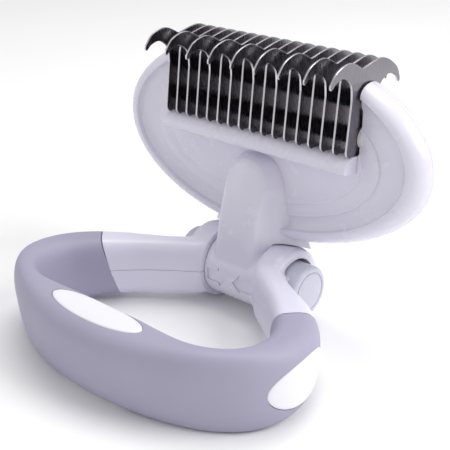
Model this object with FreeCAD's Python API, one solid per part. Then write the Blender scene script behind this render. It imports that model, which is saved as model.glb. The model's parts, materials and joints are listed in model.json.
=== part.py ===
import FreeCAD, Part
import math
import os

# Undercoat rake: a row of hooked steel plates in an oval head, on a barrel that swivels between
# the two ears of a closed loop handle.  Millimetres, +Z up.
# The row frame has its origin on the flat underside of the grip bar, X along the swivel axis and
# +Y from the grip bar towards the swivel.  The head is drawn upright about the swivel axis in a
# frame of its own (Z up the blades, Y across the hooks) and then leant back and moved into place.

# ---- driving dimensions -------------------------------------------------------------------
AXIS_Y = 64.0             # grip bar's middle to the swivel axis
AXIS_Z = 12.5             # swivel axis above the resting plane
HEAD_LEAN = 8.0           # degrees the head leans back from upright at rest

BLADE_COUNT = 17
BLADE_PITCH = 4.5
BLADE_THICK = 0.8
SHANK_HALF = 6.2          # half the width of a plate's shank
TENON_HALF = 4.0          # half the width of the tongue that sits in the comb
BLADE_FOOT_Z = 42.4
SHOULDER_Z = 48.0         # where the shank starts to round in to the tongue
HOOK_ROOT_Z = 62.5        # where the shank starts to curve out into the hook

ROD_RADIUS = 1.5
ROD_Y = 1.5               # how far behind the plates' middle the tie rods run
ROD_HEIGHTS = (("upper", 62.0), ("lower", 51.5))
SPACER_RADIUS = 2.6
ROD_END_X = 41.5
CLIP_THICK = 1.0
CLIP_RADIUS = 3.2

DISC_A = 59.4             # half length of the oval head
DISC_B = 31.0             # half height of the oval head
DISC_Z = 43.5             # its centre above the swivel axis
DISC_Y = 3.5              # its middle plane behind the plates' middle plane
DISC_HALF_T = 6.0         # half its thickness
RIM_ROUND = 4.5
DISH_STEPS = ((54.5, 27.0, 1.2), (47.5, 22.0, 0.7), (41.0, 18.5, 0.5))
SHELL_WALL = 1.8
RIM_SOLID = 8.0           # how far in from the outline the shells start to be hollow
POCKET_HALF_X = 38.6
POCKET_Z = 41.5
COMB_HALF_Y = 2.4         # half the width of the socket that the comb's foot sits in
COMB_FOOT_Z = 36.0
COMB_TOP_Z = 46.0
COMB_LEDGE_Y = 6.0
FIT_GAP = 0.05

BARREL_R = 10.5
BARREL_HALF = 10.5
BARREL_BORE_R = 9.0
WEB_HALF = 0.9
LEG_TOP_Z = 39.5
LEG_FACES = (-8.6, 10.0)   # the front leg's and the rear leg's outer face
SADDLE_Y = 3.0            # half thickness of the saddle where it passes under the rim
SADDLE_SIDE = ((24.5, 11.0), (17.0, 24.0), (12.5, 32.0))
LEG_SIDE = ((10.0, 7.0), (9.5, 24.0), (8.4, 32.0))
EAR_SPACE_R = 12.7

EAR_IN = 10.7
EAR_OUT = 19.0
EAR_R = 12.2
EAR_BORE_R = 9.27
EAR_ROUND = 2.4
ARM_HALF_H = 9.5          # half height of the arms at the ears
BAR_HALF_H = 12.5         # half height of the grip bar
OUTER_ROUND = 4.2
INNER_ROUND = 2.4
GRIP_SKIN = 2.4           # thickness of the soft overmould
PAD_DEEP = 1.4            # thickness of the hard oval set in each end of the grip
PAD_REACH = 41.0
PAD_HALF = (14.5, 7.4)
INLAY_REACH = 63.8
INLAY_HALF = (18.0, 5.2)
INLAY_DEEP = 1.4
SLOT_REACH = 17.0         # how far past the axis the arms stay apart
# Plan outlines of the loop's right half: distance from the middle line, reach from the swivel axis.
OUTER_HALF = ((0, 75), (13, 74), (26, 70.6), (38, 65), (47.8, 57.6), (53.4, 50.5), (55.2, 42),
              (53.4, 33.2), (48.2, 25.4), (41.4, 19.2), (34.8, 15.2), (28.5, 12.2), (22.5, 9.0),
              (17.5, 2), (9, -3), (0, -4))
INNER_HALF = ((0, 57), (10, 57), (20, 58.1), (28, 58.8), (34, 57.6), (39, 54), (41.6, 48),
              (41, 41.5), (37.5, 35), (30, 28.3), (22, 22.3), (15, 17.4), (8, 14.6), (0, 13.6))
SPLIT_POINT = (35.2, 24.5)
SPLIT_NORMAL = (0.88, 0.47, -0.28)

LOCK_RING_R = 9.2
LOCK_RING_BORE = 6.7
LOCK_RING_X = (8.0, 12.4)
DOG_COUNT = 12
STEM_R = 6.62
CROWN_X = (4.8, 6.0)
CROWN_R = 8.6
CAP_R = 8.2
CAP_X = (16.3, 24.7)
RIB_R = 9.18
RIB_ANGLES = (40.0, 160.0, 280.0)
RIB_HALF = 1.5
RIB_LENGTH = 3.4
GROOVE_R = (5.9, 6.5)     # ring groove in the button's face
GROOVE_DEEP = 0.4
DOG_HALF = 1.0
DOG_TALL = (0.9, 0.8)     # dogs on the lock ring and on the crown
SPRING_BORE_R = 4.4
SPRING_COIL_R = 3.5
SPRING_WIRE_R = 0.45
SPRING_X = (1.1, 13.8)
SPRING_TURNS = 6

SCREW_R = 1.1
SCREW_HEAD_R = 2.0
SCREW_HEAD_DEEP = 1.0
POST_R = 2.6
HEAD_SCREWS = ((-50.5, 42.0), (50.5, 42.0), (-22.0, 30.0), (22.0, 30.0))
YOKE_SCREWS = ((0.0, 20.0), (0.0, 31.0))
YOKE_SCREW_TIP = -6.0
YOKE_SCREW_FACE = 9.5
HEAD_SCREW_TIP = -2.9
CROSS_HALF = (1.2, 0.25)   # half length and half width of a screw's cross slot
HANDLE_SCREWS = ((-30.5, 21.0), (30.5, 21.0), (-26.0, 65.0), (26.0, 65.0))
ARROW_DEEP = 0.5
ARROW_TIP = 1.6            # along the axis from the barrel's middle
ARROW_NECK = 4.2
ARROW_TAIL = 9.4
ARROW_HALF = (4.0, 2.4)    # half height of the arrow's head and of its body
ARROW_ANGLE = 12.0        # degrees the arrows sit below the barrel's front line

V = FreeCAD.Vector
X_AXIS = V(1, 0, 0)
Y_AXIS = V(0, 1, 0)
Z_AXIS = V(0, 0, 1)
SIDES = (("left", -1), ("right", 1))

nodes = {}


# ---- helpers --------------------------------------------------------------------------------
def cyl_x(radius, x0, x1, y=0.0, z=0.0):
    return Part.makeCylinder(radius, x1 - x0, V(x0, y, z), X_AXIS)


def cyl_y(radius, y0, y1, x=0.0, z=0.0):
    return Part.makeCylinder(radius, y1 - y0, V(x, y0, z), Y_AXIS)


def box(x0, x1, y0, y1, z0, z1):
    return Part.makeBox(x1 - x0, y1 - y0, z1 - z0, V(x0, y0, z0))


def fuse_all(shapes):
    whole = shapes[0]
    for shape in shapes[1:]:
        whole = whole.fuse(shape)
    return whole.removeSplitter()


def mirror_x(shape):
    return shape.mirror(V(0, 0, 0), X_AXIS)


def spline(points, closed=False):
    curve = Part.BSplineCurve()
    curve.interpolate(Points=points, PeriodicFlag=closed)
    return curve.toShape()


def rounded(shape, radius, wanted):
    """Fillet the edges that wanted() picks, or give the shape back as it is if that fails."""
    edges = [edge for edge in shape.Edges if wanted(edge)]
    try:
        result = shape.makeFillet(radius, edges)
    except Part.OCCError:
        print("fillet left out:", radius, len(edges))
        return shape
    if result.isValid() and result.Volume > 0:
        return result
    print("fillet not valid:", radius, len(edges))
    return shape


def to_row(shape):
    """Move a handle shape, drawn about the swivel axis, into the row frame."""
    moved = shape.copy()
    moved.translate(V(0, AXIS_Y, AXIS_Z))
    return moved


def head_to_row(shape):
    """Lean an upright head shape back and move it to the swivel axis."""
    moved = shape.copy()
    moved.rotate(V(0, 0, 0), X_AXIS, -HEAD_LEAN)
    return to_row(moved)


# ---- blade pack (head frame) -----------------------------------------------------------------
def blade_x(index):
    return (index - (BLADE_COUNT - 1) / 2.0) * BLADE_PITCH


def hook_edges(x, side, hump_y, hump_z, crown_y, crown_z):
    """A hook on one side: its inner edge from the shank to the tip, and its back to the crown."""
    tip = V(x, side * 16.4, 66.3)
    inner = spline([
        V(x, side * SHANK_HALF, HOOK_ROOT_Z),
        V(x, side * 7.5, 67.1),
        V(x, side * 11.0, 69.2),
        V(x, side * 14.3, 68.4),
        tip,
    ])
    back = spline([
        tip,
        V(x, side * 17.2, 67.6),
        V(x, side * 14.6, 70.6),
        V(x, side * hump_y, hump_z),
        V(x, crown_y, crown_z),
    ])
    return [inner, back]


def blade(index):
    """One plate: a tongue, a shank, a far hook, and a near hook on every other plate."""
    x = blade_x(index) - BLADE_THICK / 2
    crown = V(x, -2.6, 71.6)
    edges = []
    foot_left = V(x, -TENON_HALF, BLADE_FOOT_Z)
    foot_right = V(x, TENON_HALF, BLADE_FOOT_Z)
    edges.append(Part.makeLine(foot_left, foot_right))
    for side in (1, -1):
        tongue_top = V(x, side * TENON_HALF, SHOULDER_Z - 2.2)
        bend = V(x, side * (SHANK_HALF - 0.65), SHOULDER_Z - 1.55)
        shank_low = V(x, side * SHANK_HALF, SHOULDER_Z)
        edges.append(Part.makeLine(V(x, side * TENON_HALF, BLADE_FOOT_Z), tongue_top))
        edges.append(Part.Arc(tongue_top, bend, shank_low).toShape())
    edges.append(Part.makeLine(V(x, SHANK_HALF, SHOULDER_Z), V(x, SHANK_HALF, HOOK_ROOT_Z)))
    edges += hook_edges(x, 1, 6.4, 74.0, crown.y, crown.z)
    if index % 2 == 0:
        edges.append(Part.makeLine(V(x, -SHANK_HALF, SHOULDER_Z), V(x, -SHANK_HALF, HOOK_ROOT_Z)))
        edges += hook_edges(x, -1, 8.6, 73.4, crown.y, crown.z)
    else:
        shoulder = V(x, -SHANK_HALF, 66.5)
        edges.append(Part.makeLine(V(x, -SHANK_HALF, SHOULDER_Z), shoulder))
        edges.append(spline([shoulder, V(x, -5.0, 69.6), crown]))
    face = Part.Face(Part.Wire(Part.__sortEdges__(edges)))
    plate = face.extrude(V(BLADE_THICK, 0, 0))
    for _, height in ROD_HEIGHTS:
        plate = plate.cut(cyl_x(ROD_RADIUS + FIT_GAP, x - 1, x + BLADE_THICK + 1, ROD_Y, height))
    return plate


def make_blade_pack():
    for index in range(BLADE_COUNT):
        nodes["blade_%02d" % (index + 1)] = head_to_row(blade(index))
    clips = []
    for name, height in ROD_HEIGHTS:
        rod = cyl_x(ROD_RADIUS, -ROD_END_X, ROD_END_X, ROD_Y, height)
        nodes["blade_rod_" + name] = head_to_row(rod)
        spacers = []
        for index in range(BLADE_COUNT - 1):
            x0 = blade_x(index) + BLADE_THICK / 2 + FIT_GAP
            x1 = blade_x(index + 1) - BLADE_THICK / 2 - FIT_GAP
            tube = cyl_x(SPACER_RADIUS, x0, x1, ROD_Y, height)
            spacers.append(tube.cut(cyl_x(ROD_RADIUS + FIT_GAP, x0, x1, ROD_Y, height)))
        nodes["rod_spacers_" + name] = head_to_row(Part.makeCompound(spacers))
        for _, sign in SIDES:
            x0 = blade_x(BLADE_COUNT - 1) + BLADE_THICK / 2 + FIT_GAP
            washer = cyl_x(CLIP_RADIUS, x0, x0 + CLIP_THICK, ROD_Y, height)
            washer = washer.cut(cyl_x(ROD_RADIUS + FIT_GAP, x0, x0 + CLIP_THICK, ROD_Y, height))
            clips.append(washer if sign > 0 else mirror_x(washer))
    nodes["rod_clips"] = head_to_row(Part.makeCompound(clips))


def make_comb():
    """The comb under the blades: sloping ledges front and back, and a slot for each tongue."""
    foot = COMB_HALF_Y - FIT_GAP
    section = [
        (-COMB_LEDGE_Y, POCKET_Z + FIT_GAP),
        (-TENON_HALF + 0.4, COMB_TOP_Z),
        (TENON_HALF - 0.4, COMB_TOP_Z),
        (COMB_LEDGE_Y, POCKET_Z + FIT_GAP),
        (DISC_Y + foot, POCKET_Z + FIT_GAP),
        (DISC_Y + foot, COMB_FOOT_Z),
        (DISC_Y - foot, COMB_FOOT_Z),
        (DISC_Y - foot, POCKET_Z + FIT_GAP),
    ]
    half = POCKET_HALF_X - FIT_GAP
    outline = [V(-half, y, z) for y, z in section]
    face = Part.Face(Part.makePolygon(outline + outline[:1]))
    comb = face.extrude(V(2 * half, 0, 0))
    slot_half = BLADE_THICK / 2 + FIT_GAP
    tongue = TENON_HALF + FIT_GAP
    for index in range(BLADE_COUNT):
        x = blade_x(index)
        comb = comb.cut(box(x - slot_half, x + slot_half, -tongue, tongue, BLADE_FOOT_Z, COMB_TOP_Z + 1))
    nodes["blade_comb"] = head_to_row(comb)


# ---- oval head (head frame) -------------------------------------------------------------------
def oval(half_x, half_z, y0, y1):
    ellipse = Part.Ellipse(V(0, y0, DISC_Z), half_x, half_z)
    ellipse.Axis = Y_AXIS
    ellipse.XAxis = X_AXIS
    face = Part.Face(Part.Wire(ellipse.toShape()))
    return face.extrude(V(0, y1 - y0, 0))


def disc_half(sign):
    """The outer form of the front (-1) or rear (+1) half of the oval head, rim rounded."""
    half = oval(DISC_A, DISC_B, 0, sign * DISC_HALF_T)
    return rounded(half, RIM_ROUND, lambda edge: abs(edge.CenterOfMass.y) > DISC_HALF_T - 0.1)


def dish_face(x, z):
    """How far the stepped dish's face stands from the middle plane at a point."""
    face_y = DISC_HALF_T
    for half_x, half_z, depth in DISH_STEPS:
        if (x / half_x) ** 2 + ((z - DISC_Z) / half_z) ** 2 < 1:
            face_y -= depth
    return face_y


def dished(shape, sign):
    """Cut the concentric steps of the dish into one face."""
    face_y = DISC_HALF_T
    for half_x, half_z, depth in DISH_STEPS:
        shape = shape.cut(oval(half_x, half_z, sign * (face_y - depth), sign * 20))
        face_y -= depth
    return shape


def disc_to_head(shape):
    moved = shape.copy()
    moved.translate(V(0, DISC_Y, 0))
    return moved


def head_shell(sign):
    """One half of the oval head, with the blade pocket, the comb's socket and the rod sockets.

    It is drawn about its own middle plane and then moved back by DISC_Y."""
    shell = disc_half(sign)
    hollow_y = dish_face(0, DISC_Z) - SHELL_WALL
    hollow = oval(DISC_A - RIM_SOLID, DISC_B - RIM_SOLID, -sign, sign * hollow_y)
    solid_x = ROD_END_X + 1.5
    shell = shell.cut(hollow.cut(box(-solid_x, solid_x, -20, 20, COMB_FOOT_Z - 2, 80)))
    for x, z in HEAD_SCREWS + YOKE_SCREWS:
        boss = oval_post(x, z, sign)
        shell = shell.fuse(boss).cut(cyl_y(SCREW_R + FIT_GAP, -3.0, 9, x, z))
        if sign > 0 and (x, z) in HEAD_SCREWS:
            recess_y = dish_face(x, z) - SCREW_HEAD_DEEP
            shell = shell.cut(cyl_y(SCREW_HEAD_R + FIT_GAP, recess_y, 9, x, z))
    shell = dished(shell, sign)
    for x, z in YOKE_SCREWS:
        shell = shell.cut(cyl_y(SCREW_R + FIT_GAP, -9, 9, x, z))
    shell = shell.cut(box(-POCKET_HALF_X, POCKET_HALF_X, -9, 9, POCKET_Z, 80))
    shell = shell.cut(box(-POCKET_HALF_X, POCKET_HALF_X, -COMB_HALF_Y, COMB_HALF_Y, COMB_FOOT_Z, 80))
    for _, height in ROD_HEIGHTS:
        half = ROD_END_X + FIT_GAP
        shell = shell.cut(cyl_x(ROD_RADIUS + FIT_GAP, -half, half, ROD_Y - DISC_Y, height))
    return disc_to_head(shell)


def oval_post(x, z, sign):
    depth = dish_face(x, z)
    return cyl_y(POST_R, 0, depth, x, z) if sign > 0 else cyl_y(POST_R, -depth, 0, x, z)


def head_screw(x, z, tip_y, face_y):
    """A screw along Y with its head sunk in the rear face and a cross in the head."""
    neck_y = face_y - SCREW_HEAD_DEEP + FIT_GAP
    shank = cyl_y(SCREW_R, tip_y, neck_y, x, z)
    head = cyl_y(SCREW_HEAD_R, neck_y, face_y - 0.1, x, z)
    long, thin = CROSS_HALF
    cross = box(x - long, x + long, face_y - 0.6, face_y, z - thin, z + thin)
    cross = cross.fuse(box(x - thin, x + thin, face_y - 0.6, face_y, z - long, z + long))
    return shank.fuse(head).cut(cross).removeSplitter()


def leg_outline(side, top_z, y):
    """An arch that stands on the barrel: wide at the foot, rounded at the top."""
    left = [V(-x, y, z) for x, z in side]
    right = [V(x, y, z) for x, z in reversed(side)]
    edges = Part.makePolygon(left).Edges + Part.makePolygon(right).Edges
    edges.append(Part.Arc(left[-1], V(0, y, top_z), right[0]).toShape())
    edges.append(Part.makeLine(right[-1], left[0]))
    return Part.Wire(Part.__sortEdges__(edges))


def arrow(sign):
    """A debossed arrow on the barrel's front, pointing in from the ear."""
    half_head, half_body = ARROW_HALF
    points = [(ARROW_TIP, 0), (ARROW_NECK, half_head), (ARROW_NECK, half_body), (ARROW_TAIL, half_body)]
    ring = points + [(x, -z) for x, z in reversed(points[1:])]
    outline = [V(sign * x, -BARREL_R - 1, z) for x, z in ring]
    face = Part.Face(Part.makePolygon(outline + outline[:1]))
    block = face.extrude(V(0, BARREL_R, 0))
    block.rotate(V(0, 0, 0), X_AXIS, ARROW_ANGLE)
    return block.cut(cyl_x(BARREL_R - ARROW_DEEP, -BARREL_HALF, BARREL_HALF))


def make_yoke():
    """Barrel, neck and the two legs that hold the oval head between them: one moulding."""
    barrel = cyl_x(BARREL_R, -BARREL_HALF, BARREL_HALF)
    saddle = Part.Face(leg_outline(SADDLE_SIDE, LEG_TOP_Z, -SADDLE_Y)).extrude(V(0, 2 * SADDLE_Y, 0))
    parts = [barrel, saddle]
    for face_y in LEG_FACES:
        wide = leg_outline(SADDLE_SIDE, LEG_TOP_Z, math.copysign(SADDLE_Y, face_y))
        narrow = leg_outline(LEG_SIDE, LEG_TOP_Z - 1, face_y)
        parts.append(Part.makeLoft([wide, narrow], True, True))
    yoke = fuse_all(parts)
    for sign in (-1, 1):
        yoke = yoke.cut(disc_to_head(dished(oval(DISC_A, DISC_B, 0, sign * DISC_HALF_T), sign)))
    for _, sign in SIDES:
        ear_space = cyl_x(EAR_SPACE_R, BARREL_HALF, 30)
        bore = cyl_x(BARREL_BORE_R, WEB_HALF, LOCK_RING_X[0])
        seat = cyl_x(LOCK_RING_R, LOCK_RING_X[0], BARREL_HALF + 1)
        hole = fuse_all([ear_space, bore, seat])
        yoke = yoke.cut(hole if sign > 0 else mirror_x(hole))
        yoke = yoke.cut(arrow(sign))
    for x, z in YOKE_SCREWS:
        yoke = yoke.cut(cyl_y(SCREW_R + FIT_GAP, YOKE_SCREW_TIP - FIT_GAP, 20, x, z))
        yoke = yoke.cut(cyl_y(SCREW_HEAD_R + FIT_GAP, YOKE_SCREW_FACE - SCREW_HEAD_DEEP, 20, x, z))
    return largest(yoke)


def largest(shape):
    """The biggest solid of a cut shape, without the crumbs that the cuts leave."""
    return max(shape.Solids, key=lambda solid: solid.Volume)


def make_head():
    nodes["head_yoke"] = head_to_row(make_yoke())
    nodes["head_front_shell"] = head_to_row(head_shell(-1))
    nodes["head_rear_shell"] = head_to_row(head_shell(1))
    screws = [head_screw(x, z, HEAD_SCREW_TIP, dish_face(x, z)) for x, z in HEAD_SCREWS]
    nodes["head_screws"] = head_to_row(disc_to_head(Part.makeCompound(screws)))
    screws = [head_screw(x, z, YOKE_SCREW_TIP, YOKE_SCREW_FACE) for x, z in YOKE_SCREWS]
    nodes["yoke_screws"] = head_to_row(Part.makeCompound(screws))


# ---- swivel lock (drawn on the right, mirrored to the left) ------------------------------------
def dogs(radius_in, radius_out, x0, x1):
    """A ring of blunt face teeth."""
    ring = cyl_x(radius_out, x0, x1).cut(cyl_x(radius_in, x0, x1))
    step = 360.0 / DOG_COUNT
    teeth = []
    for index in range(DOG_COUNT):
        block = box(x0, x1, -DOG_HALF, DOG_HALF, 0, radius_out + 1)
        block.rotate(V(0, 0, 0), X_AXIS, index * step)
        teeth.append(ring.common(block))
    return teeth


def lock_ring():
    x0, x1 = LOCK_RING_X
    ring = cyl_x(LOCK_RING_R, x0, x1).cut(cyl_x(LOCK_RING_BORE, x0, x1))
    return fuse_all([ring] + dogs(LOCK_RING_BORE + 0.2, CROWN_R, x0 - DOG_TALL[0], x0))


def lock_crown():
    x0, x1 = CROWN_X
    disc = cyl_x(CROWN_R, x0, x1)
    crown = fuse_all([disc] + dogs(LOCK_RING_BORE + 0.2, CROWN_R, x1, x1 + DOG_TALL[1]))
    return crown.cut(cyl_x(STEM_R, x0 - 1, x1 + 1))


def button():
    """Press button: cap with a ring groove and three guide ribs, stem and spring bore."""
    x0, x1 = CAP_X
    cap = cyl_x(CAP_R, x0, x1)
    cap = rounded(cap, 1.0, lambda edge: edge.CenterOfMass.x > x1 - 0.1 and edge.Length > 20)
    parts = [cap, cyl_x(STEM_R, CROWN_X[0], x0)]
    for angle in RIB_ANGLES:
        end = V(x0 + RIB_LENGTH, 0, CAP_R - 0.6)
        rib = cyl_x(RIB_HALF, x0, end.x, 0, end.z).fuse(Part.makeSphere(RIB_HALF, end))
        rib.rotate(V(0, 0, 0), X_AXIS, 90.0 - angle)
        parts.append(rib.common(cyl_x(RIB_R, x0, x1)))
    body = fuse_all(parts)
    bottom = x1 - GROOVE_DEEP
    groove = cyl_x(GROOVE_R[1], bottom, x1 + 1).cut(cyl_x(GROOVE_R[0], bottom, x1 + 1))
    body = body.cut(groove)
    return body.cut(cyl_x(SPRING_BORE_R, CROWN_X[0] - 1, SPRING_X[1] + 0.1))


def coil_spring():
    """A coil from the barrel's web to the bottom of the button's bore."""
    x0, x1 = SPRING_X
    length = x1 - x0 - 2 * SPRING_WIRE_R
    helix = Part.makeHelix(length / SPRING_TURNS, length, SPRING_COIL_R)
    start = helix.Edges[0].Vertexes[0].Point
    circle = Part.makeCircle(SPRING_WIRE_R, start, Y_AXIS)
    coil = Part.Wire(helix).makePipeShell([Part.Wire(circle)], True, True)
    coil.rotate(V(0, 0, 0), Y_AXIS, 90)
    coil.translate(V(x0 + SPRING_WIRE_R, 0, 0))
    return coil


def make_lock():
    makers = (
        ("lock_ring_", lock_ring()),
        ("lock_crown_", lock_crown()),
        ("button_", button()),
        ("button_spring_", coil_spring()),
    )
    for side, sign in SIDES:
        for name, shape in makers:
            placed = shape if sign > 0 else mirror_x(shape)
            nodes[name + side] = to_row(placed)


# ---- loop handle (handle frame: the swivel axis at the origin, the grip towards -Y) -------------
def plan_points(half, inset):
    """A closed list of plan points from one half, moved in by inset along each point's normal."""
    ring = list(half) + [(-x, reach) for x, reach in reversed(half[1:-1])]
    count = len(ring)
    points = []
    for index in range(count):
        before = ring[index - 1]
        after = ring[(index + 1) % count]
        dx = after[0] - before[0]
        dr = after[1] - before[1]
        size = math.hypot(dx, dr)
        x = ring[index][0] + inset * dr / size
        reach = ring[index][1] - inset * dx / size
        points.append((x, reach))
    return points


def plan_prism(half, inset, half_height):
    points = [V(x, -reach, -half_height) for x, reach in plan_points(half, inset)]
    face = Part.Face(Part.Wire(spline(points, True)))
    return face.extrude(V(0, 0, 2 * half_height))


def side_prism(inset):
    """The loop's side view: low at the ears, full height along the grip bar."""
    arm = ARM_HALF_H - inset
    bar = BAR_HALF_H - inset
    half = [(16.0, arm), (-12.0, arm), (-54.0, bar), (-80.0, bar)]
    ring = half + [(y, -z) for y, z in reversed(half)]
    outline = [V(-60, y, z) for y, z in ring]
    face = Part.Face(Part.makePolygon(outline + outline[:1]))
    return face.extrude(V(120, 0, 0))


def loop_outer(inset):
    return plan_prism(OUTER_HALF, inset, BAR_HALF_H).common(side_prism(inset))


def loop_opening(inset):
    return plan_prism(INNER_HALF, inset, BAR_HALF_H + 1)


def along_faces(edge):
    """Edges that run round the loop's upper and lower faces."""
    return edge.Length > 12 and abs(edge.CenterOfMass.z) > ARM_HALF_H - 0.5


def loop_form():
    """The loop's outside: rounded round the outline, and less so round the finger opening."""
    outer = rounded(loop_outer(0.0), OUTER_ROUND, along_faces)
    ring = outer.cut(loop_opening(0.0))
    top_inner = []
    for edge in ring.Edges:
        bounds = edge.BoundBox
        inside = bounds.YMax < -12 and bounds.XMax < 43 and bounds.XMin > -43
        if along_faces(edge) and inside:
            top_inner.append(edge)
    return rounded(ring, INNER_ROUND, lambda edge: any(edge.isSame(other) for other in top_inner))


def arm_zone():
    """Where the arms are bare: up to the slanted line at which each passes into the soft grip."""
    zones = []
    for sign in (-1, 1):
        at = V(sign * SPLIT_POINT[0], -SPLIT_POINT[1], 0)
        normal = V(sign * SPLIT_NORMAL[0], -SPLIT_NORMAL[1], SPLIT_NORMAL[2])
        inward = Part.makeCylinder(120, 120, at, -normal)
        half = box(0, 90, -44, 40, -40, 40)
        zones.append(inward.common(half if sign > 0 else mirror_x(half)))
    return zones[0].fuse(zones[1])


def ears():
    lumps = []
    for _, sign in SIDES:
        ear = cyl_x(EAR_R, EAR_IN, EAR_OUT)
        ear = rounded(ear, EAR_ROUND, lambda edge: edge.CenterOfMass.x > EAR_OUT - 0.1)
        lumps.append(ear if sign > 0 else mirror_x(ear))
    return lumps


def screw_hole(x, reach):
    shank = Part.makeCylinder(SCREW_R + FIT_GAP, 13.0, V(x, -reach, -6.5), Z_AXIS)
    head = Part.makeCylinder(SCREW_HEAD_R + FIT_GAP, 10.0, V(x, -reach, -16.0), Z_AXIS)
    return shank.fuse(head)


def handle_screw(x, reach):
    long, thin = CROSS_HALF
    shank = Part.makeCylinder(SCREW_R, 12.0, V(x, -reach, -6.1), Z_AXIS)
    head = Part.makeCylinder(SCREW_HEAD_R, 1.4, V(x, -reach, -7.4), Z_AXIS)
    slot = box(x - long, x + long, -reach - thin, -reach + thin, -7.5, -6.9)
    return shank.fuse(head).cut(slot).removeSplitter()


def oval_up(half_x, half_l):
    """An upright oval column through the grip bar's middle."""
    ellipse = Part.Ellipse(V(0, -INLAY_REACH, BAR_HALF_H - INLAY_DEEP), half_x, half_l)
    face = Part.Face(Part.Wire(ellipse.toShape()))
    return face.extrude(V(0, 0, INLAY_DEEP + 1))


def oval_out(half_l, half_z, sign):
    """An oval column through the outer side of one end of the loop."""
    ellipse = Part.Ellipse(V(sign * 45, -PAD_REACH, 0), half_l, half_z)
    ellipse.Axis = X_AXIS
    ellipse.XAxis = Y_AXIS
    face = Part.Face(Part.Wire(ellipse.toShape()))
    return face.extrude(V(sign * 20, 0, 0))


def make_handle():
    full = loop_form()
    core = loop_outer(GRIP_SKIN).cut(loop_opening(-GRIP_SKIN))
    arm_space = arm_zone()
    slot = box(-EAR_IN, EAR_IN, -SLOT_REACH, 20, -20, 20)
    arms = fuse_all([full.common(arm_space)] + ears())
    arms = arms.cut(slot).cut(cyl_x(EAR_BORE_R, -40, 40))
    frame = arms.fuse(core.cut(arm_space)).removeSplitter()
    grip = full.cut(arm_space).cut(core)
    for x, reach in HANDLE_SCREWS:
        frame = frame.cut(screw_hole(x, reach))
        grip = grip.cut(screw_hole(x, reach))
    inlay = full.common(oval_up(*INLAY_HALF))
    inlay_space = oval_up(INLAY_HALF[0] + FIT_GAP, INLAY_HALF[1] + FIT_GAP)
    grip = grip.cut(inlay_space).cut(inlay_space.mirror(V(0, 0, 0), Z_AXIS))
    skin = full.cut(plan_prism(OUTER_HALF, PAD_DEEP, 20))
    for side, sign in SIDES:
        grip = grip.cut(skin.common(oval_out(PAD_HALF[0] + FIT_GAP, PAD_HALF[1] + FIT_GAP, sign)))
        nodes["side_pad_" + side] = to_row(skin.common(oval_out(PAD_HALF[0], PAD_HALF[1], sign)))
    for half, z0, z1 in (("upper", 0, 20), ("lower", -20, 0)):
        space = box(-70, 70, -90, 40, z0, z1)
        nodes["handle_%s_shell" % half] = to_row(frame.common(space))
        nodes["grip_" + half] = to_row(grip.common(space))
    nodes["grip_inlay_top"] = to_row(inlay)
    nodes["grip_inlay_bottom"] = to_row(inlay.mirror(V(0, 0, 0), Z_AXIS))
    screws = [handle_screw(x, reach) for x, reach in HANDLE_SCREWS]
    nodes["handle_screws"] = to_row(Part.makeCompound(screws))


make_blade_pack()
make_comb()
make_head()
make_lock()
make_handle()

os.makedirs("parts", exist_ok=True)
for name in sorted(nodes):
    shape = nodes[name]
    print(name, "solids", len(shape.Solids), "valid", shape.isValid(), "volume", round(shape.Volume, 1))
    shape.exportStep("parts/%s.step" % name)
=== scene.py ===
import json
import math

import bmesh
import bpy
from mathutils import Matrix, Vector
from mathutils.bvhtree import BVHTree


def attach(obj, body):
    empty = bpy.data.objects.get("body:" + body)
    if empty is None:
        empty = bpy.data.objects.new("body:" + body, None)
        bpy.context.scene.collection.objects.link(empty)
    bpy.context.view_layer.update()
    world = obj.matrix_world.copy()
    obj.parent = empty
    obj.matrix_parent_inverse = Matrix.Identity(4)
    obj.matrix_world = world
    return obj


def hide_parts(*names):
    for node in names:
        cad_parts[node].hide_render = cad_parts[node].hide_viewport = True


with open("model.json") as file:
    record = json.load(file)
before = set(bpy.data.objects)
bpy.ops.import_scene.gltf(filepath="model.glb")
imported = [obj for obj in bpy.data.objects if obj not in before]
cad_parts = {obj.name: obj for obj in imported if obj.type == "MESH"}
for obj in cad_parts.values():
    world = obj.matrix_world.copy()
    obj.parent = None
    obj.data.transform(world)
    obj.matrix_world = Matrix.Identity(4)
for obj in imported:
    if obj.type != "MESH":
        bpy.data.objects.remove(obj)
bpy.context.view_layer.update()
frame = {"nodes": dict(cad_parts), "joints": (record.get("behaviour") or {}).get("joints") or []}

# Sizes are in millimetres until put() places a mesh.  Head pieces are drawn upright about the
# swivel axis (X along it, Y across the hooks, Z up the plates) and handle pieces are drawn about
# the same axis with -Y towards the grip bar.
MM = 0.001
HEAD_LEAN = math.radians(8.0)
SWIVEL = Vector(next(j for j in frame["joints"] if j["name"] == "head_swivel")["pos_m"])
HANDLE = Matrix.Translation(SWIVEL) @ Matrix.Scale(MM, 4)
HEAD = Matrix.Translation(SWIVEL) @ Matrix.Rotation(-HEAD_LEAN, 4, "X") @ Matrix.Scale(MM, 4)

BLADE_COUNT = 17
BLADE_PITCH = 4.5
BLADE_THICK = 0.64
POCKET_HALF_X = 36.95
POCKET_Z = 41.5
DISC_Z = 43.5
BARREL_R = 10.5
BARREL_HALF = 10.5
EAR_IN = 10.7
EAR_OUT = 19.0
EAR_R = 12.2
EAR_BORE_R = 9.27
EAR_CLEAR = 0.5           # between an ear and the neck's saddle above it
SIDES = (("left", -1), ("right", 1))


# ---- mesh helpers ---------------------------------------------------------------------------
def put(name, verts, faces, place, body, material, replaces=(), smooth=True):
    """Make a piece from points in millimetres, place it, and hide the frame's parts that it replaces."""
    mesh = bpy.data.meshes.new(name)
    mesh.from_pydata([place @ Vector(v) for v in verts], [], faces)
    return finish_piece(name, mesh, body, material, replaces, smooth)


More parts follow.
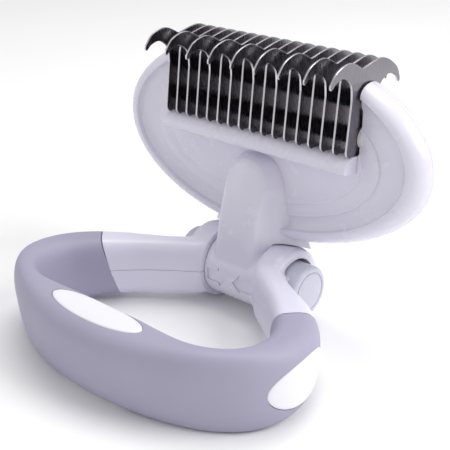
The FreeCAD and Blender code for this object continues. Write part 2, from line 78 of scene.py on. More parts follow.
def finish_piece(name, mesh, body, material, replaces=(), smooth=True):
    bm = bmesh.new()
    bm.from_mesh(mesh)
    bmesh.ops.recalc_face_normals(bm, faces=bm.faces)
    bm.to_mesh(mesh)
    bm.free()
    if smooth:
        mesh.shade_smooth()
    piece = bpy.data.objects.new(name, mesh)
    bpy.context.scene.collection.objects.link(piece)
    mesh.materials.clear()
    mesh.materials.append(material)
    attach(piece, body)
    if replaces:
        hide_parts(*replaces)
    return piece


def curve_through(points, steps):
    """Catmull-Rom points through a list of points, ends included."""
    last = len(points) - 1
    out = []
    for i in range(last):
        p = [Vector(points[min(max(i + k, 0), last)]) for k in (-1, 0, 1, 2)]
        for s in range(steps):
            t = s / steps
            out.append(0.5 * (2 * p[1] + (p[2] - p[0]) * t
                              + (2 * p[0] - 5 * p[1] + 4 * p[2] - p[3]) * t * t
                              + (3 * p[1] - p[0] - 3 * p[2] + p[3]) * t ** 3))
    out.append(Vector(points[-1]))
    return out


def rings_to_mesh(rings):
    """Quads between rings of equal length, with the two ends closed."""
    count = len(rings[0])
    verts = [v for ring in rings for v in ring]
    faces = []
    for r in range(len(rings) - 1):
        for i in range(count):
            j = (i + 1) % count
            a, b = r * count, (r + 1) * count
            faces.append((a + i, a + j, b + j, b + i))
    faces.append(tuple(reversed(range(count))))
    faces.append(tuple(range(len(verts) - count, len(verts))))
    return verts, faces


def lathe_x(profile, segments=96):
    """Turn (x, radius) points about the X axis; radius 0 ends are closed by the end faces."""
    rings = []
    for x, radius in profile:
        ring = []
        for i in range(segments):
            angle = 2 * math.pi * i / segments
            ring.append((x, radius * math.cos(angle), radius * math.sin(angle)))
        rings.append(ring)
    return rings_to_mesh(rings)


def scratch(name, verts, faces):
    """A working object, in millimetres, for booleans and remeshing."""
    mesh = bpy.data.meshes.new(name)
    mesh.from_pydata([tuple(v) for v in verts], [], faces)
    bm = bmesh.new()
    bm.from_mesh(mesh)
    bmesh.ops.remove_doubles(bm, verts=bm.verts, dist=1e-5)
    bmesh.ops.recalc_face_normals(bm, faces=bm.faces)
    bm.to_mesh(mesh)
    bm.free()
    thing = bpy.data.objects.new(name, mesh)
    bpy.context.scene.collection.objects.link(thing)
    return thing


def bake(thing):
    """Replace an object's mesh by what its modifiers make of it."""
    depsgraph = bpy.context.evaluated_depsgraph_get()
    mesh = bpy.data.meshes.new_from_object(thing.evaluated_get(depsgraph))
    thing.modifiers.clear()
    thing.data = mesh
    return thing


def drop(*things):
    for thing in things:
        bpy.data.objects.remove(thing, do_unlink=True)


def combine(thing, other, how):
    modifier = thing.modifiers.new("combine", "BOOLEAN")
    modifier.object = other
    modifier.operation = how
    modifier.solver = "EXACT"
    bake(thing)
    drop(other)
    return thing


def melt(thing, voxel, smooth):
    """Remesh a union into one skin and soften its edges into fillets."""
    modifier = thing.modifiers.new("melt", "REMESH")
    modifier.mode = "VOXEL"
    modifier.voxel_size = voxel
    modifier.adaptivity = 0
    if smooth:
        modifier = thing.modifiers.new("soften", "SMOOTH")
        modifier.factor = 0.5
        modifier.iterations = smooth
    return bake(thing)


def settle(thing, name, place, body, material, replaces=()):
    """Turn a working object into a finished piece."""
    mesh = thing.data.copy()
    mesh.name = name
    mesh.transform(place)
    drop(thing)
    return finish_piece(name, mesh, body, material, replaces)


def crease(piece, degrees):
    """Keep edges sharper than an angle crisp under smooth shading."""
    piece.data.set_sharp_from_angle(angle=math.radians(degrees))


def box_points(x0, x1, y0, y1, z0, z1):
    verts = [(x, y, z) for x in (x0, x1) for y in (y0, y1) for z in (z0, z1)]
    faces = [(0, 1, 3, 2), (4, 6, 7, 5), (0, 4, 5, 1), (2, 3, 7, 6), (0, 2, 6, 4), (1, 5, 7, 3)]
    return verts, faces


# ---- materials ------------------------------------------------------------------------------
def node_material(name):
    material = bpy.data.materials.new(name)
    material.use_nodes = True
    nodes = material.node_tree.nodes
    shader = nodes["Principled BSDF"]
    return material, nodes, material.node_tree.links, shader


def noise(nodes, links, scale, detail=3.0, stretch=None):
    texture = nodes.new("ShaderNodeTexNoise")
    texture.inputs["Scale"].default_value = scale
    texture.inputs["Detail"].default_value = detail
    coords = nodes.new("ShaderNodeTexCoord")
    if stretch:
        mapping = nodes.new("ShaderNodeMapping")
        mapping.inputs["Scale"].default_value = stretch
        links.new(coords.outputs["Object"], mapping.inputs["Vector"])
        links.new(mapping.outputs["Vector"], texture.inputs["Vector"])
    else:
        links.new(coords.outputs["Object"], texture.inputs["Vector"])
    return texture


def ramp_between(nodes, links, source, low, high, start=0.35, end=0.65):
    ramp = nodes.new("ShaderNodeValToRGB")
    ramp.color_ramp.elements[0].position = start
    ramp.color_ramp.elements[1].position = end
    ramp.color_ramp.elements[0].color = (*low, 1)
    ramp.color_ramp.elements[1].color = (*high, 1)
    links.new(source, ramp.inputs["Fac"])
    return ramp.outputs["Color"]


def rough_between(nodes, links, source, low, high):
    spread = nodes.new("ShaderNodeMapRange")
    spread.inputs["From Min"].default_value = 0.3
    spread.inputs["From Max"].default_value = 0.7
    spread.inputs["To Min"].default_value = low
    spread.inputs["To Max"].default_value = high
    links.new(source, spread.inputs["Value"])
    return spread.outputs["Result"]


def bump(nodes, links, height, distance, strength, shader):
    node = nodes.new("ShaderNodeBump")
    node.inputs["Distance"].default_value = distance
    node.inputs["Strength"].default_value = strength
    links.new(height, node.inputs["Height"])
    links.new(node.outputs["Normal"], shader.inputs["Normal"])


def moulded(name, low, high, rough, grain, depth, coat=0.0, subsurface=0.0):
    """Moulded plastic or rubber: faint mottling, uneven gloss and a fine surface grain."""
    material, nodes, links, shader = node_material(name)
    mottle = noise(nodes, links, 45.0, 2.0)
    links.new(ramp_between(nodes, links, mottle.outputs["Fac"], low, high), shader.inputs["Base Color"])
    sheen_map = noise(nodes, links, 180.0, 2.0)
    links.new(rough_between(nodes, links, sheen_map.outputs["Fac"], *rough), shader.inputs["Roughness"])
    fine = noise(nodes, links, grain, 2.0)
    bump(nodes, links, fine.outputs["Fac"], depth, 0.5, shader)
    shader.inputs["Coat Weight"].default_value = coat
    shader.inputs["Coat Roughness"].default_value = 0.15
    if subsurface:
        shader.inputs["Subsurface Weight"].default_value = subsurface
        shader.inputs["Subsurface Radius"].default_value = (0.9, 0.8, 1.0)
        shader.inputs["Subsurface Scale"].default_value = 0.002
    return material


def steel(name, low, high, rough, stretch, depth):
    """Rolled or ground steel with fine lines along one direction."""
    material, nodes, links, shader = node_material(name)
    lines = noise(nodes, links, 900.0, 3.0, stretch)
    cloud = noise(nodes, links, 90.0, 3.0)
    links.new(ramp_between(nodes, links, cloud.outputs["Fac"], low, high), shader.inputs["Base Color"])
    links.new(rough_between(nodes, links, lines.outputs["Fac"], *rough), shader.inputs["Roughness"])
    bump(nodes, links, lines.outputs["Fac"], depth, 0.35, shader)
    shader.inputs["Metallic"].default_value = 1.0
    return material


WHITE = moulded("white_plastic", (0.775, 0.75, 0.86), (0.79, 0.77, 0.875), (0.22, 0.28), 900, 5e-6,
                coat=0.25, subsurface=0.08)
HANDLE_WHITE = moulded("handle_white_plastic", (0.76, 0.735, 0.86), (0.79, 0.77, 0.88), (0.28, 0.34),
                       900, 5e-6, coat=0.15, subsurface=0.08)
INLAY = moulded("inlay_plastic", (0.855, 0.845, 0.895), (0.87, 0.86, 0.91), (0.28, 0.34), 900, 5e-6,
                coat=0.1)
GRIP = moulded("grip_rubber", (0.375, 0.355, 0.475), (0.39, 0.37, 0.49), (0.50, 0.62), 2400, 6e-5)
BUTTON = moulded("button_plastic", (0.56, 0.56, 0.67), (0.62, 0.62, 0.72), (0.20, 0.27), 900, 5e-6,
                 coat=0.2, subsurface=0.25)
NYLON = moulded("lock_nylon", (0.70, 0.69, 0.66), (0.76, 0.75, 0.72), (0.35, 0.5), 1800, 2e-5)
# Blade steel painted dark on its flat faces: painted shade and painted reflection of the neighbouring
# blades.
BLADE_PAINTED_SHADE = steel("blade_steel", (0.22, 0.205, 0.23), (0.26, 0.245, 0.27), (0.22, 0.32),
              (0.15, 1.0, 0.15), 1e-5)
# The same blade steel painted lighter: a painted highlight along the blades' edges.
BLADE_EDGE_PAINTED_HIGHLIGHT = steel("blade_edge_steel", (0.62, 0.60, 0.64), (0.72, 0.70, 0.74), (0.18, 0.34),
                   (1.0, 0.2, 0.2), 1e-5)
ROD = steel("rod_steel", (0.05, 0.048, 0.053), (0.075, 0.072, 0.08), (0.35, 0.5), (0.1, 1.0, 1.0), 1e-5)
SCREW = steel("screw_steel", (0.55, 0.55, 0.56), (0.66, 0.66, 0.67), (0.18, 0.3), (1.0, 1.0, 1.0), 1e-5)


# ---- camera, floor and light -----------------------------------------------------------------
CAMERA_AT = Vector((185.57, -147.92, 155.22)) * MM
CAMERA_TURN = math.radians(42.77)      # the view's turn from +Y towards -X
CAMERA_DIP = math.radians(24.24)
CAMERA_ROLL = math.radians(-1.25)
LENS_MM = 77.4


def make_camera():
    data = bpy.data.cameras.new("camera")
    data.lens = LENS_MM
    data.sensor_width = 36.0
    data.clip_start = 0.01
    camera = bpy.data.objects.new("camera", data)
    turn = Matrix.Rotation(CAMERA_TURN, 4, "Z")
    dip = Matrix.Rotation(math.pi / 2 - CAMERA_DIP, 4, "X")
    roll = Matrix.Rotation(CAMERA_ROLL, 4, "Z")
    camera.matrix_world = Matrix.Translation(CAMERA_AT) @ turn @ dip @ roll
    bpy.context.scene.collection.objects.link(camera)
    bpy.context.scene.camera = camera


def area_light(name, at, towards, size, power, colour=(1, 1, 1)):
    data = bpy.data.lights.new(name, "AREA")
    data.shape = "DISK"
    data.size = size
    data.energy = power
    data.color = colour
    light = bpy.data.objects.new(name, data)
    light.location = at
    aim = Vector(towards) - Vector(at)
    light.rotation_euler = aim.to_track_quat("-Z", "Y").to_euler()
    bpy.context.scene.collection.objects.link(light)


def make_stage():
    size = 4.0
    corners = [(-size, -size, 0), (size, -size, 0), (size, size, 0), (-size, size, 0)]
    mesh = bpy.data.meshes.new("floor")
    mesh.from_pydata(corners, [], [(0, 1, 2, 3)])
    material, nodes, links, shader = node_material("floor")
    tone = noise(nodes, links, 3.0)
    links.new(ramp_between(nodes, links, tone.outputs["Fac"], (0.95, 0.95, 0.95), (0.97, 0.97, 0.97)),
              shader.inputs["Base Color"])
    shader.inputs["Roughness"].default_value = 0.9
    mesh.materials.append(material)
    floor = bpy.data.objects.new("floor", mesh)
    bpy.context.scene.collection.objects.link(floor)
    world = bpy.data.worlds.new("studio")
    bpy.context.scene.world = world
    world.use_nodes = True
    backdrop = world.node_tree.nodes["Background"]
    backdrop.inputs["Color"].default_value = (1.0, 1.0, 1.0, 1)
    backdrop.inputs["Strength"].default_value = 0.55
    middle = (0, 0.04, 0.04)
    area_light("key", (0.60, 0.30, 0.55), middle, 0.5, 3.6)
    area_light("top", (-0.05, 0.25, 0.9), middle, 0.6, 3.0)
    area_light("left_fill", (-0.7, -0.5, 0.35), middle, 0.6, 0.7, (0.90, 0.90, 1.0))


# ---- steel plates ------------------------------------------------------------------------------
SHANK_HALF = 6.2
TONGUE_HALF = 4.0
FOOT_Z = 42.4
CORNER_Z = 48.0
CROWN = (-2.6, 71.6)
BLADE_BEVEL = 0.12
FAR_HUMP = (6.6, 74.2)     # the highest point of the rear hook
NEAR_HUMP = (-8.6, 73.5)


def hook_outline(side, hump):
    """From the shank's top out along the hook's inner edge, round the tip, to the crown."""
    inner = [(side * SHANK_HALF, 62.5), (side * 7.4, 66.9), (side * 11.0, 69.2), (side * 14.4, 68.3),
             (side * 16.1, 66.7)]
    tip = [(side * 16.1, 66.7), (side * 16.75, 66.45), (side * 17.25, 67.0), (side * 17.1, 68.0)]
    back = [(side * 17.1, 68.0), (side * 14.3, 71.6), hump, CROWN]
    line = curve_through([(*p, 0) for p in inner], 7)[:-1]
    line += curve_through([(*p, 0) for p in tip], 4)[:-1]
    line += curve_through([(*p, 0) for p in back], 9)
    return [(p.x, p.y) for p in line]


def corner_outline(side):
    """From the tongue's foot up to the shank, round the lower corner."""
    line = [(side * TONGUE_HALF, FOOT_Z), (side * TONGUE_HALF, CORNER_Z - 2.1)]
    radius = SHANK_HALF - TONGUE_HALF
    for step in range(1, 7):
        angle = math.pi / 2 * step / 6
        line.append((side * (TONGUE_HALF + radius * math.sin(angle)), CORNER_Z - 2.1 * math.cos(angle)))
    return line


def blade_outline(near_hook):
    far = corner_outline(1) + hook_outline(1, FAR_HUMP)
    if near_hook:
        near = corner_outline(-1) + hook_outline(-1, NEAR_HUMP)
    else:
        shoulder = curve_through([(-SHANK_HALF, 66.5, 0), (-5.4, 69.2, 0), (*CROWN, 0)], 6)
        near = corner_outline(-1) + [(p.x, p.y) for p in shoulder]
    return far + list(reversed(near[:-1]))


def make_blades():
    for index in range(BLADE_COUNT):
        x = (index - (BLADE_COUNT - 1) / 2) * BLADE_PITCH
        outline = blade_outline(index % 2 == 0)
        half = BLADE_THICK / 2
        edge = BLADE_BEVEL
        inset = inset_outline(outline, edge)
        rings = [[(x - half, y, z) for y, z in inset], [(x - half + edge, y, z) for y, z in outline],
                 [(x + half - edge, y, z) for y, z in outline], [(x + half, y, z) for y, z in inset]]
        verts, faces = rings_to_mesh(rings)
        name = "blade_%02d" % (index + 1)
        plate = put("plate_%02d" % (index + 1), verts, faces, HEAD, "head", BLADE_PAINTED_SHADE,
                    (name,), False)
        # The edge and bevel bands take the lighter steel as a painted highlight; the flat faces keep the
        # darker steel as painted shade.
        plate.data.materials.append(BLADE_EDGE_PAINTED_HIGHLIGHT)
        for face in plate.data.polygons:
            if len(face.vertices) == 4:
                face.material_index = 1


def inset_outline(outline, distance):
    """Move each point of a closed outline in along its normal."""
    count = len(outline)
    area = sum(outline[i - 1][0] * outline[i][1] - outline[i][0] * outline[i - 1][1] for i in range(count))
    turn = 1 if area > 0 else -1
    moved = []
    for i in range(count):
        before, after = outline[i - 1], outline[(i + 1) % count]
        dy, dz = after[0] - before[0], after[1] - before[1]
        size = math.hypot(dy, dz) or 1
        y, z = outline[i]
        moved.append((y - turn * distance * dz / size, z + turn * distance * dy / size))
    return moved


FLUTE_DEEP = 0.3
FLUTE_FOOT_Z = 41.9       # the flutes fade out down to here
FLUTE_FADE = 2.0
COMB_GAP = 0.1            # between the comb's ends and the pocket's walls


def make_comb():
    """The fluted ledge at the blades' feet, front and back."""
    section = [(3.4, 46.3), (5.0, 45.3), (6.2, 43.9), (7.0, 42.3), (7.0, 41.7), (6.5, 41.3), (5.2, 41.2),
               (2.0, 41.2)]
    ring = [(y, z) for y, z in section] + [(-y, z) for y, z in reversed(section)]
    rings = []
    steps = 8 * BLADE_COUNT
    for i in range(steps + 1):
        x = -POCKET_HALF_X + COMB_GAP + 2 * (POCKET_HALF_X - COMB_GAP) * i / steps
        flute = FLUTE_DEEP * math.cos(2 * math.pi * x / BLADE_PITCH)
        line = []
        for y, z in ring:
            weight = max(0.0, min(1.0, (z - FLUTE_FOOT_Z) / FLUTE_FADE)) * (1 if abs(y) > 3 else 0)
            line.append((x, y + math.copysign(flute * weight, y), z))
        rings.append(line)
    verts, faces = rings_to_mesh(rings)
    piece = put("comb_ledge", verts, faces, HEAD, "head", WHITE, ("blade_comb",))
    crease(piece, 50)


# ---- oval head ---------------------------------------------------------------------------------
# Half length, half height, centre height and distance from the middle plane of each line round
# the disc, from the seam on the rim in to the dish.
RIM_PATH = ((59.4, 31.0, 43.5, 0.0), (59.25, 30.87, 43.5, 1.6), (58.7, 30.4, 43.5, 3.1),
            (57.7, 29.7, 43.5, 4.5), (56.4, 28.8, 43.5, 5.5), (55.0, 27.9, 43.5, 5.95),
            (54.2, 27.2, 43.5, 6.0), (53.85, 26.9, 43.5, 5.9), (53.65, 26.75, 43.5, 5.5),
            (53.2, 26.4, 43.4, 4.7), (51.5, 25.2, 43.2, 4.1), (48.5, 23.6, 42.8, 3.75),
            (45.0, 22.0, 42.5, 3.6), (44.6, 21.75, 42.5, 3.62), (44.45, 21.65, 42.5, 3.8),
            (44.3, 21.5, 42.5, 4.2), (44.0, 21.35, 42.5, 4.3), (41.0, 19.4, 42.3, 4.05),
            (38.7, 17.8, 42.2, 3.85), (38.45, 17.65, 42.2, 3.85), (38.3, 17.5, 42.2, 4.05),
            (38.15, 17.3, 42.2, 4.35), (37.8, 17.1, 42.2, 4.4), (30.0, 13.0, 42.2, 4.15),
            (18.0, 8.0, 42.2, 3.95), (6.0, 3.0, 42.2, 3.95))
DISC_Y = 3.5              # the disc's middle plane behind the plates' middle plane
DISC_TILT = 0.05          # how fast that plane comes forward towards the disc's top
# Half length and half height of the fine seam at its edge, at its bottom, and inside the shell.
SEAM_EDGE = (59.4, 31.0)
SEAM_BOTTOM = (59.25, 30.9)
SEAM_INSIDE = (57.5, 30.0)
SEAM_HALF = 0.18
OVAL_STEPS = 180


def disc_middle(z):
    return DISC_Y - DISC_TILT * (z - DISC_Z)


def oval_ring(half_x, half_z, centre_z, y):
    ring = []
    for i in range(OVAL_STEPS):
        angle = 2 * math.pi * i / OVAL_STEPS
        z = centre_z + half_z * math.sin(angle)
        ring.append((half_x * math.cos(angle), disc_middle(z) + y, z))
    return ring


def make_disc():
    """Two shells that meet at a fine seam round the rim, with the blade pocket cut through."""
    for sign, label in ((-1, "front"), (1, "rear")):
        rings = [oval_ring(a, b, c, sign * y) for a, b, c, y in reversed(RIM_PATH)]
        rings[-1] = oval_ring(*SEAM_BOTTOM, DISC_Z, 0.0)
        rings.insert(-1, oval_ring(*SEAM_EDGE, DISC_Z, sign * SEAM_HALF))
        rings.append(oval_ring(*SEAM_INSIDE, DISC_Z, 0.0))
        shell = scratch("shell", *rings_to_mesh(rings))
        cutter = scratch("cutter", *box_points(-POCKET_HALF_X, POCKET_HALF_X, -12, 16, POCKET_Z, 90))
        combine(shell, cutter, "DIFFERENCE")
        soften_cut(shell, 0.35)
        piece = settle(shell, "disc_%s" % label, HEAD, "head", WHITE,
                       ("head_%s_shell" % label,))
        crease(piece, 42)


def soften_cut(thing, radius):
    """Round the edges that the pocket's walls make with the shell's faces."""
    bm = bmesh.new()
    bm.from_mesh(thing.data)
    chosen = []
    for edge in bm.edges:
        on_wall = all(abs(abs(v.co.x) - POCKET_HALF_X) < 1e-3 for v in edge.verts)
        if on_wall and edge.is_manifold and edge.calc_face_angle() > math.radians(50):
            off_seam = max(abs(v.co.y - disc_middle(v.co.z)) for v in edge.verts) > 0.4
            off_floor = min(v.co.z for v in edge.verts) > POCKET_Z + 0.5
            if off_seam and off_floor:
                chosen.append(edge)
    bmesh.ops.bevel(bm, geom=chosen, offset=radius, segments=3, affect="EDGES", clamp_overlap=True)
    bm.to_mesh(thing.data)
    bm.free()


# ---- neck and barrel -----------------------------------------------------------------------------
def neck_ring(points, y):
    """A closed arch outline at one depth: up one side, over the top and down the other."""
    side = curve_through([(x, z, 0) for x, z in points], 8)
    right = [(p.x, y, p.y) for p in side]
    return right + [(-x, yy, z) for x, yy, z in reversed(right[:-1])]


# Depth and arch (half width, height) of each layer of the neck, from the front leg to the rear.
NECK_LAYERS = (
    (-9.7, ((7.4, 1.0), (7.2, 4.0), (6.8, 7.0), (5.8, 9.6), (3.4, 11.6), (0.0, 12.2))),
    (-8.3, ((8.0, 2.0), (7.9, 9.0), (7.6, 15.0), (6.9, 21.0), (4.2, 25.4), (0.0, 27.0))),
    (-6.6, ((8.4, 3.0), (8.2, 12.0), (8.0, 21.0), (7.4, 29.0), (4.6, 34.6), (0.0, 36.4))),
    (-5.6, ((9.0, 4.0), (8.7, 14.0), (8.5, 23.0), (8.0, 30.6), (5.1, 36.2), (0.0, 38.0))),
    (-3.6, ((10.4, 7.0), (9.8, 17.0), (9.4, 25.0), (8.8, 31.6), (5.6, 37.2), (0.0, 39.0))),
    (-1.0, ((13.4, 8.0), (12.0, 17.0), (11.2, 25.0), (10.0, 32.0), (6.4, 37.8), (0.0, 39.4))),
    (2.2, ((19.5, 9.5), (16.0, 17.0), (13.6, 25.0), (11.4, 32.0), (7.0, 38.0), (0.0, 39.6))),
    (5.4, ((21.0, 10.0), (17.0, 17.0), (14.2, 25.0), (12.0, 32.0), (7.4, 38.6), (0.0, 40.2))),
    (8.0, ((14.0, 9.0), (12.4, 17.0), (11.4, 25.0), (10.2, 32.0), (6.2, 38.2), (0.0, 40.0))),
    (10.2, ((9.4, 3.0), (9.4, 14.0), (9.2, 24.0), (8.4, 31.5), (5.2, 37.4), (0.0, 39.4))),
    (10.8, ((8.4, 3.0), (8.4, 14.0), (8.2, 24.0), (7.4, 31.0), (4.6, 36.6), (0.0, 38.6))),
)


def make_yoke():
    rings = [neck_ring(points, y) for y, points in NECK_LAYERS]
    yoke = scratch("yoke", *rings_to_mesh(rings))
    barrel = scratch("barrel", *lathe_x([(-BARREL_HALF, BARREL_R), (BARREL_HALF, BARREL_R)]))
    combine(yoke, barrel, "UNION")
    melt(yoke, 0.4, 5)
    for _, sign in SIDES:
        reach = [(sign * BARREL_HALF, EAR_R + EAR_CLEAR), (sign * 40, EAR_R + EAR_CLEAR)]
        space = scratch("ear_space", *lathe_x(reach))
        combine(yoke, space, "DIFFERENCE")
        combine(yoke, arrow_cutter(sign), "DIFFERENCE")
    piece = settle(yoke, "yoke", HEAD, "head", WHITE, ("head_yoke",))
    crease(piece, 40)


ARROW_TURN = math.radians(10.0)   # the arrows sit this far below the barrel's front line
ARROW_DEEP = 0.45


def arrow_cutter(sign):
    """The debossed arrow's block, between a radius just under the barrel's and one outside it."""
    tip, head_back, tail, half_head, half_body = 1.6, 4.6, 9.3, 3.6, 2.2
    outline = [(tip, 0), (head_back, half_head), (head_back, half_body), (tail, half_body),
               (tail, -half_body), (head_back, -half_body), (head_back, -half_head)]
    rings = []
    for radius in (BARREL_R - ARROW_DEEP, BARREL_R + 1.5):
        ring = []
        for x, around in outline:
            angle = around / BARREL_R + ARROW_TURN
            ring.append((sign * x, -radius * math.cos(angle), -radius * math.sin(angle)))
        rings.append(ring)
    return scratch("arrow", *rings_to_mesh(rings))


# ---- loop handle -----------------------------------------------------------------------------------
# Plan points of the loop's right half, in pairs (inner x, inner reach, outer x, outer reach, half
# height), from the middle of the grip bar to the ear; reach runs from the swivel towards the bar.
STATIONS = (
    (0.0, 57.0, 0.0, 75.0, 12.5), (10.0, 57.0, 13.0, 74.0, 12.5), (20.0, 58.1, 26.0, 70.8, 12.5),
    (28.5, 58.8, 38.0, 65.3, 12.4), (35.0, 57.2, 47.6, 58.0, 12.2), (39.6, 53.4, 53.4, 50.2, 11.9),
    (41.6, 47.8, 55.3, 41.6, 11.4), (41.0, 41.0, 53.2, 32.6, 10.9), (37.0, 34.0, 47.6, 24.4, 10.4),
    (31.0, 27.2, 39.6, 17.6, 9.9), (24.5, 21.4, 31.6, 13.4, 9.6), (18.0, 16.6, 25.2, 9.6, 9.5),
    (12.2, 12.6, 20.2, 5.2, 9.5), (9.4, 8.0, 18.6, 0.5, 9.3), (9.4, 3.0, 18.4, -4.0, 9.0),
)
SPLIT_AT = 8.55           # station at which the grip starts, at mid height
SPLIT_SLANT = -0.030      # stations per millimetre of height
ARM_FROM = 7.9            # station inside the grip from which the arms' skin is drawn
SECTION_STEPS = 56
GRIP_STEPS = 190
ARM_HALF_H = 9.0
BAR_TUCK = 0.75           # lean of the grip's outer side, per millimetre it is taller than the arms


def loop_path(u):
    """Inner point, outer point and half height at a signed station number."""
    sign = -1 if u < 0 else 1
    position = min(abs(u), len(STATIONS) - 1.0001)
    i = int(position)
    t = position - i
    rows = []
    for k in (-1, 0, 1, 2):
        index = i + k
        if index < 0:
            row = STATIONS[-index]
            rows.append((-row[0], row[1], -row[2], row[3], row[4]))
        else:
            rows.append(STATIONS[min(index, len(STATIONS) - 1)])
    values = []
    for a, b, c, d in zip(*rows):
        values.append(0.5 * (2 * b + (c - a) * t + (2 * a - 5 * b + 4 * c - d) * t * t
                             + (3 * b - a - 3 * c + d) * t ** 3))
    inner = Vector((sign * values[0], -values[1], 0))
    outer = Vector((sign * values[2], -values[3], 0))
    return inner, outer, values[4]


def loop_point(u, angle, inset=0.0):
    """A point on the loop's skin: angle 0 is the outer side, 90 degrees the top."""
    inner, outer, half_h = loop_path(u)
    centre = (inner + outer) / 2
    across = (outer - inner) / 2
    width = across.length - inset
    height = half_h - inset
    c, s = math.cos(angle), math.sin(angle)
    power = 2 / 2.6 if c > 0 else 2 / 4.0
    x = math.copysign(abs(c) ** power, c)
    z = math.copysign(abs(s) ** (2 / 3.2), s)
    tuck = BAR_TUCK * (half_h - ARM_HALF_H) * max(0.0, x) * (1 - z) / 2
    return centre + across.normalized() * (width * x - tuck) + Vector((0, 0, height * z))


def loop_rings(u0, u1, steps, slant0=0.0, slant1=0.0):
    """Rings along the loop; a slant moves an end ring along the loop with height."""
    rings = []
    for i in range(steps + 1):
        t = i / steps
        ring = []
        for k in range(SECTION_STEPS):
            angle = 2 * math.pi * k / SECTION_STEPS
            u = u0 + (u1 - u0) * t
            z = loop_point(u, angle).z
            u += z * (slant0 * (1 - t) ** 4 + slant1 * t ** 4)
            ring.append(loop_point(u, angle))
        rings.append(ring)
    return rings


INLAY_REACH = 64.6
INLAY_HALF = (18.0, 5.0)
PAD_REACH = 39.5
PAD_HALF = (12.6, 7.2)
SET_GAP = 0.18
PARTING_DEEP = 0.5
PARTING_HALF = 0.16
LOOP_CLEAR = 60           # further out than any part of the loop


def make_grip():
    rings = loop_rings(-SPLIT_AT, SPLIT_AT, GRIP_STEPS, -SPLIT_SLANT, SPLIT_SLANT)
    grip = scratch("grip", *rings_to_mesh(rings))
    surface = BVHTree.FromPolygons([v.co for v in grip.data.vertices],
                                   [tuple(p.vertices) for p in grip.data.polygons])
    for label, side in (("top", 1), ("bottom", -1)):
        origin = Vector((0, -INLAY_REACH, 30 * side))
        make_set_oval(grip, surface, "grip_inlay_" + label, origin, Vector((0, 0, -side)),
                      Vector((1, 0, 0)), INLAY_HALF)
    for label, side in SIDES:
        origin = Vector((90 * side, -PAD_REACH, 0))
        make_set_oval(grip, surface, "side_pad_" + label, origin, Vector((-side, 0, 0)),
                      Vector((0, 1, 0)), PAD_HALF)
    piece = settle(grip, "grip", HANDLE, "handle", GRIP, ("grip_upper", "grip_lower"))
    crease(piece, 40)


def make_set_oval(grip, surface, name, origin, aim, long_axis, half):
    """A hard oval let into the grip: cut its recess, then lay a crowned plate in it."""
    short_axis = aim.cross(long_axis)
    steps, rows = 96, 9
    deep, proud = 1.1, 0.12

    def cast(u, v):
        start = origin + long_axis * u + short_axis * v
        return surface.ray_cast(start, aim)[0]

    def oval(scale, grow):
        line = []
        for i in range(steps):
            angle = 2 * math.pi * i / steps
            half_u, half_v = half[0] * scale + grow, half[1] * scale + grow
            line.append((half_u * math.cos(angle), half_v * math.sin(angle)))
        return line

    low, high = [], []
    for u, v in oval(1.0, SET_GAP):
        hit = cast(u, v)
        low.append(hit + aim * deep)
        high.append(hit - aim * 3)
    cutter = scratch("recess", *rings_to_mesh([high, low]))
    combine(grip, cutter, "DIFFERENCE")
    verts, faces = [], []
    for row in range(rows + 1):
        scale = 1 - (1 - row / rows) ** 2 if row else 0.0
        for u, v in oval(scale if row else 0.02, 0.0):
            hit = cast(u, v)
            drop_edge = 0.0 if scale < 0.97 else 0.25 * (scale - 0.97) / 0.03
            verts.append(hit - aim * (proud - drop_edge))
    for u, v in oval(1.0, 0.0):
        verts.append(cast(u, v) + aim * (deep - 0.05))
    total = rows + 2
    for row in range(total - 1):
        for i in range(steps):
            j = (i + 1) % steps
            a, b = row * steps, (row + 1) * steps
            faces.append((a + i, a + j, b + j, b + i))
    faces.append(tuple(reversed(range(steps))))
    faces.append(tuple(range((total - 1) * steps, total * steps)))
    put(name + "_plate", verts, faces, HANDLE, "handle", INLAY, (name,))


def make_arms():
    """Each bare arm with its ear, melted into one skin, then bored for the barrel and button."""
    for label, sign in SIDES:
        rings = loop_rings(sign * ARM_FROM, sign * (len(STATIONS) - 1.001), 60)
        arm = scratch("arm", *rings_to_mesh(rings))
        profile = [(sign * 8.0, EAR_R - 0.2), (sign * 13.0, EAR_R), (sign * 16.5, EAR_R + 0.1),
                   (sign * 18.6, EAR_R - 0.5), (sign * EAR_OUT, EAR_R - 1.4)]
        ear = scratch("ear", *lathe_x(profile))
        combine(arm, ear, "UNION")
        melt(arm, 0.45, 8)
        cutter = scratch("bore", *lathe_x([(-LOOP_CLEAR, EAR_BORE_R), (LOOP_CLEAR, EAR_BORE_R)]))
        combine(arm, cutter, "DIFFERENCE")
        cutter = scratch("slot", *box_points(*sorted((0, sign * EAR_IN)), -30, 30, -30, 30))
        combine(arm, cutter, "DIFFERENCE")
        combine(arm, parting_cutter(sign), "DIFFERENCE")
        combine(arm, grip_cutter(sign), "DIFFERENCE")
        replaced = ("handle_upper_shell", "handle_lower_shell") if sign > 0 else ()
        piece = settle(arm, "arm_" + label, HANDLE, "handle", HANDLE_WHITE, replaced)
        crease(piece, 40)


def parting_cutter(sign):
    """A fine groove where the arm's two mouldings meet, along the side facing the fingers."""
    rings = []
    for i in range(41):
        u = 8.0 + 4.6 * i / 40
        middle = loop_point(sign * u, math.pi)
        outward = (loop_point(sign * u, 0) - middle).normalized()
        deep, proud = middle + outward * PARTING_DEEP, middle - outward
        rise = Vector((0, 0, PARTING_HALF))
        rings.append([proud - rise, deep - rise * 0.4, deep + rise * 0.4, proud + rise])
    return scratch("parting", *rings_to_mesh(rings))


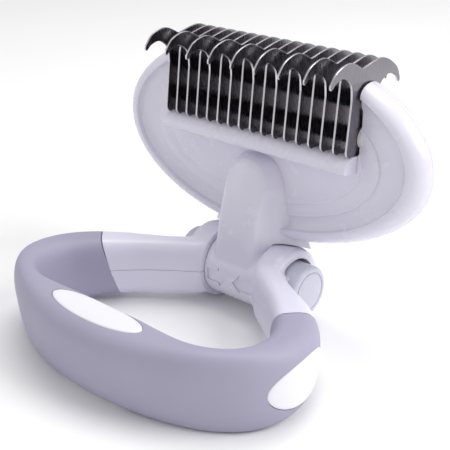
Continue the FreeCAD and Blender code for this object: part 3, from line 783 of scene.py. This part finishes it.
def grip_cutter(sign):
    """A fat copy of the grip's end, so that the arm's skin stops where the grip starts."""
    rings = []
    for u in (SPLIT_AT, SPLIT_AT - 1.2):
        ring = []
        for k in range(SECTION_STEPS):
            angle = 2 * math.pi * k / SECTION_STEPS
            z = loop_point(sign * SPLIT_AT, angle).z
            shift = z * SPLIT_SLANT
            ring.append(loop_point(sign * (u + shift), angle, -2.0))
        rings.append(ring)
    return scratch("grip_end", *rings_to_mesh(rings))


# ---- buttons ------------------------------------------------------------------------------------------
CAP_R = 8.2
CAP_BACK = 16.3
CAP_FACE = 24.7
RIB_ANGLES = (40.0, 160.0, 280.0)


def make_buttons():
    for label, sign in SIDES:
        groove = [(CAP_FACE - 0.02, 6.5), (CAP_FACE - 0.35, 6.4), (CAP_FACE - 0.4, 6.2),
                  (CAP_FACE - 0.35, 6.0), (CAP_FACE, 5.9), (CAP_FACE + 0.05, 5.6), (CAP_FACE + 0.12, 2.5),
                  (CAP_FACE + 0.13, 0.02)]
        shoulder = [(4.8, 6.6), (CAP_BACK - 0.1, 6.6), (CAP_BACK, CAP_R - 0.2), (CAP_BACK + 0.2, CAP_R)]
        for step in range(7):
            angle = math.pi / 2 * step / 6
            shoulder.append((CAP_FACE - 1.1 * (1 - math.sin(angle)), CAP_R - 1.1 * (1 - math.cos(angle))))
        profile = [(sign * x, r) for x, r in shoulder + groove]
        verts, faces = lathe_x(profile, 128)
        name = "button_" + label
        cap = put("push_" + name, verts, faces, HANDLE, name, BUTTON, (name,))
        crease(cap, 40)
        for number, angle in enumerate(RIB_ANGLES):
            make_rib("rib_%s_%d" % (label, number + 1), sign, math.radians(angle), name)


def make_rib(name, sign, angle, body):
    """A guide rib along the cap that ends in a ball."""
    radius, start, end = 1.55, CAP_BACK, CAP_BACK + 3.6
    profile = [(start, radius * 0.9), (start + 0.3, radius)]
    for step in range(10):
        turn = math.pi / 2 * step / 9
        profile.append((end + radius * math.sin(turn), max(radius * math.cos(turn), 0.02)))
    verts, faces = lathe_x([(sign * x, r) for x, r in profile], 32)
    off_axis = CAP_R - 0.65
    lift = Vector((0, -off_axis * math.cos(angle), off_axis * math.sin(angle)))
    put(name, [Vector(v) + lift for v in verts], faces, HANDLE, body, BUTTON)


# ---- finishes of the frame's own nodes ---------------------------------------------------------------
def finish_nodes():
    finishes = {"blade_rod_": ROD, "rod_spacers": ROD, "rod_clips": NYLON,
                "head_screws": SCREW, "yoke_screws": SCREW,
                "handle_screws": SCREW, "lock_": NYLON, "button_spring": ROD}
    for name, node in frame["nodes"].items():
        for start, material in finishes.items():
            if name.startswith(start):
                node.data.materials.clear()
                node.data.materials.append(material)


make_camera()
make_stage()
make_blades()
make_comb()
make_disc()
make_yoke()
make_grip()
make_arms()
make_buttons()
finish_nodes()
bpy.context.scene.view_settings.view_transform = "Standard"
